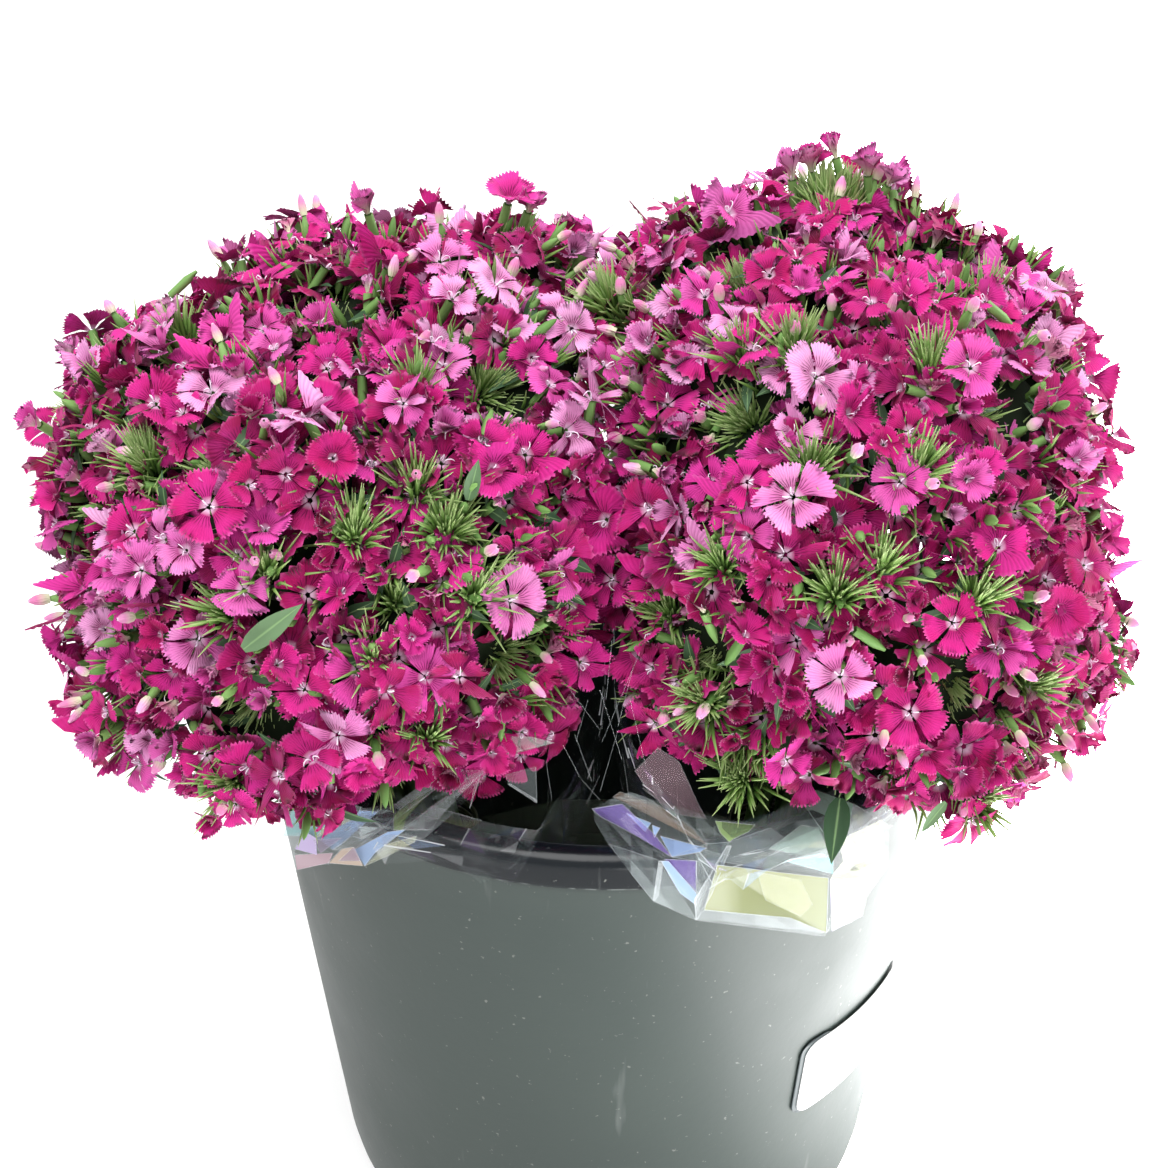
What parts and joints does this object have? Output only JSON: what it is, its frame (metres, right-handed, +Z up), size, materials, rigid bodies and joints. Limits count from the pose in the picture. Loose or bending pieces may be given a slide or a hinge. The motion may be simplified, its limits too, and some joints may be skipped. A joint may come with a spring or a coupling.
{
  "type": "cut dianthus bunches in a florist bucket",
  "caption": "Round tapered florist's bucket holding domed bunches of cut sweet william (dianthus) in clear film sleeves turned out over its rim.",
  "frame": {"origin": "centre of the bounding box, on the surface that the bucket stands on", "axes": "+Z up; the front of the display faces -Y; the bunches stand side by side along X"},
  "size_m": [0.3762, 0.2664, 0.3921],
  "materials": {
    "bucket": "matte, lightly scuffed",
    "water": "clear, gloss",
    "label": "satin paper, blank",
    "tie": "matte",
    "film": "clear iridescent, gloss",
    "petals": "soft matte, streaked",
    "greens": "satin, waxy"
  },
  "bodies": {
    "root": {"bucket": "bucket", "water": "water", "label": "label", "tie_left": "tie", "tie_right": "tie", "sleeve_left": "film", "sleeve_right": "film", "head_left_01": "petals", "head_left_02": "petals", "head_left_03": "petals", "head_left_04": "petals", "head_left_05": "petals", "head_left_06": "petals", "head_left_07": "petals", "head_left_08": "petals", "head_left_09": "petals", "head_left_10": "petals", "head_left_11": "petals", "head_left_12": "petals", "head_right_01": "petals", "head_right_02": "petals", "head_right_03": "petals", "head_right_04": "petals", "head_right_05": "petals", "head_right_06": "petals", "head_right_07": "petals", "head_right_08": "petals", "head_right_09": "petals", "head_right_10": "petals", "head_right_11": "petals", "head_right_12": "petals", "stem_left_01": "greens", "stem_left_02": "greens", "stem_left_03": "greens", "stem_left_04": "greens", "stem_left_05": "greens", "stem_left_06": "greens", "stem_left_07": "greens", "stem_left_08": "greens", "stem_left_09": "greens", "stem_left_10": "greens", "stem_left_11": "greens", "stem_left_12": "greens", "stem_right_01": "greens", "stem_right_02": "greens", "stem_right_03": "greens", "stem_right_04": "greens", "stem_right_05": "greens", "stem_right_06": "greens", "stem_right_07": "greens", "stem_right_08": "greens", "stem_right_09": "greens", "stem_right_10": "greens", "stem_right_11": "greens", "stem_right_12": "greens"}
  },
  "joints": []
}
